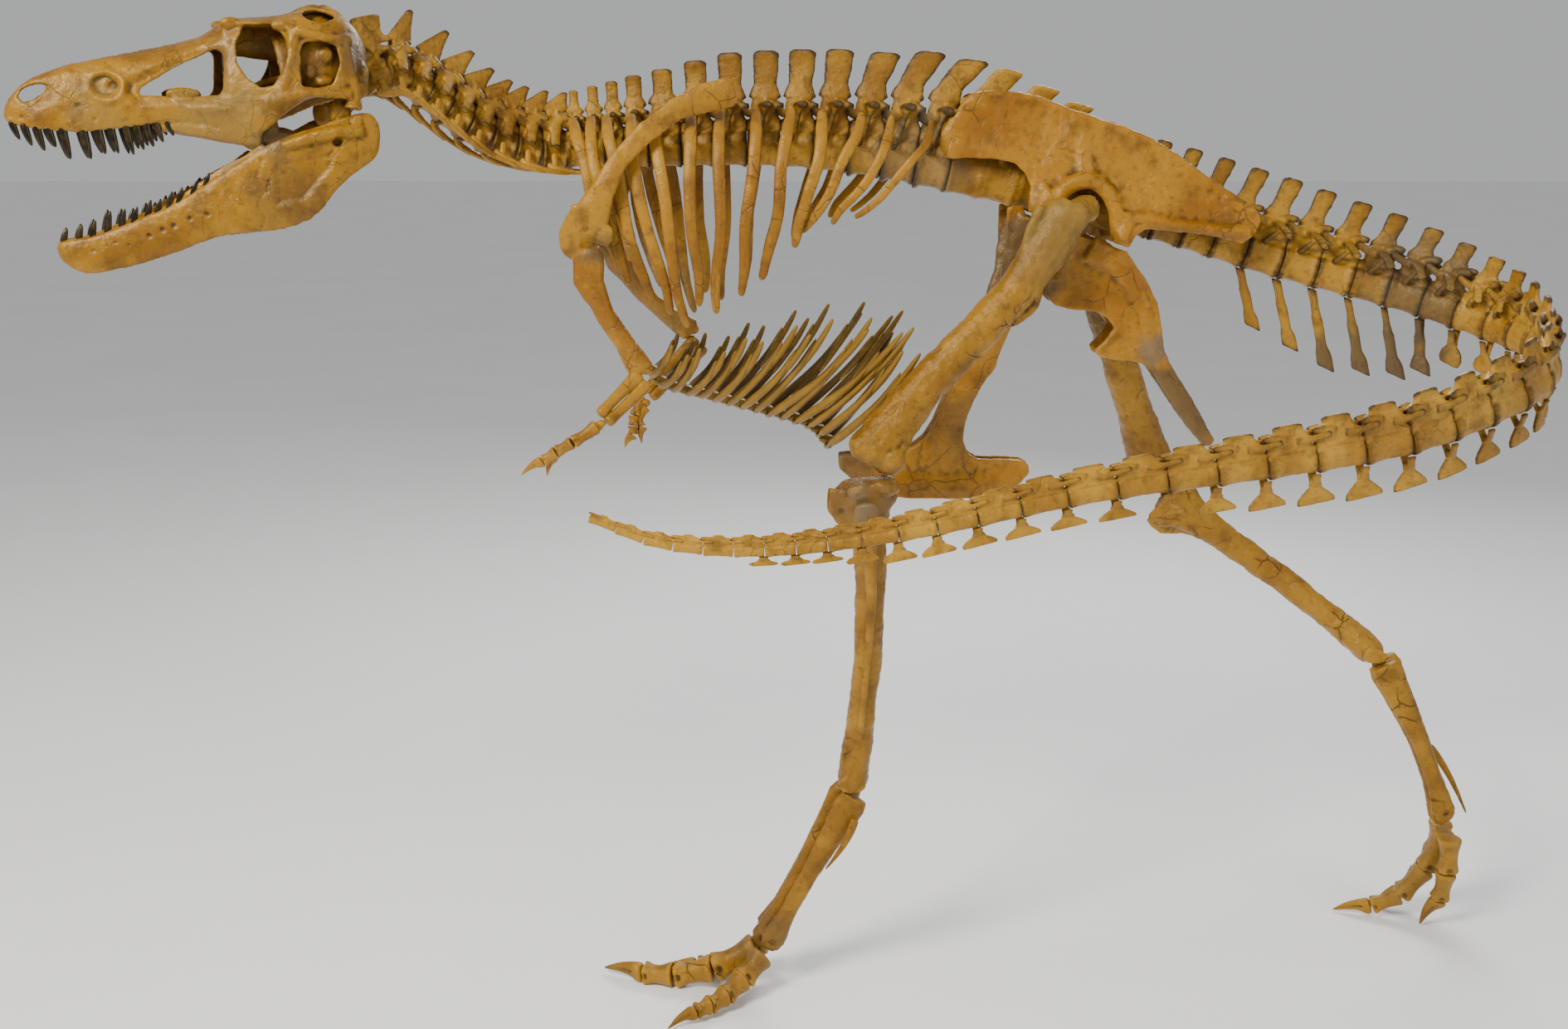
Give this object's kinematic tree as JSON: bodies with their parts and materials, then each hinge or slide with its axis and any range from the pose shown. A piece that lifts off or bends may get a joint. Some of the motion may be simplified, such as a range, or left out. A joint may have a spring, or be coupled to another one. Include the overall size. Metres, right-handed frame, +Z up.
{
  "type": "mounted tyrannosauroid dinosaur skeleton",
  "caption": "Life-size striding skeleton of a lightly built tyrannosauroid with open jaws and its tail curled forward, standing on its own feet.",
  "frame": {"origin": "on the floor under the centre of the bounding box", "axes": "+X along the body from the snout towards the hips, +Y towards the animal's right side, +Z up"},
  "size_m": [3.4036, 1.5326, 2.328],
  "materials": {
    "bone": "semi-gloss, mottled golden to orange brown",
    "dark_bone": "satin, darker brown"
  },
  "bodies": {
    "root": {"belly_ribs_left": "dark_bone", "belly_ribs_right": "dark_bone", "femur_left": "bone", "femur_right": "bone", "fibula_left": "bone", "fibula_right": "bone", "hand_left": "bone", "hand_right": "bone", "humerus_left": "bone", "humerus_right": "bone", "ilium_left": "bone", "ilium_right": "bone", "ischium_left": "bone", "ischium_right": "bone", "jaw_left": "bone", "jaw_right": "bone", "metatarsus_left": "bone", "metatarsus_right": "bone", "neck_1": "bone", "neck_2": "bone", "neck_3": "bone", "pubis_left": "bone", "pubis_right": "bone", "radius_left": "bone", "radius_right": "bone", "rib_cage_left_1": "bone", "rib_cage_left_2": "bone", "rib_cage_left_3": "bone", "rib_cage_right_1": "bone", "rib_cage_right_2": "bone", "rib_cage_right_3": "bone", "sacrum": "bone", "scapula_left": "bone", "scapula_right": "bone", "skull": "bone", "splint_left": "bone", "splint_right": "bone", "tail_1": "bone", "tail_2": "bone", "tail_3": "bone", "tail_4": "bone", "tail_5": "bone", "tail_6": "bone", "tibia_left": "bone", "tibia_right": "bone", "toe_left_2": "bone", "toe_left_3": "bone", "toe_left_4": "bone", "toe_right_2": "bone", "toe_right_3": "bone", "toe_right_4": "bone", "ulna_left": "bone", "ulna_right": "bone"}
  },
  "joints": []
}
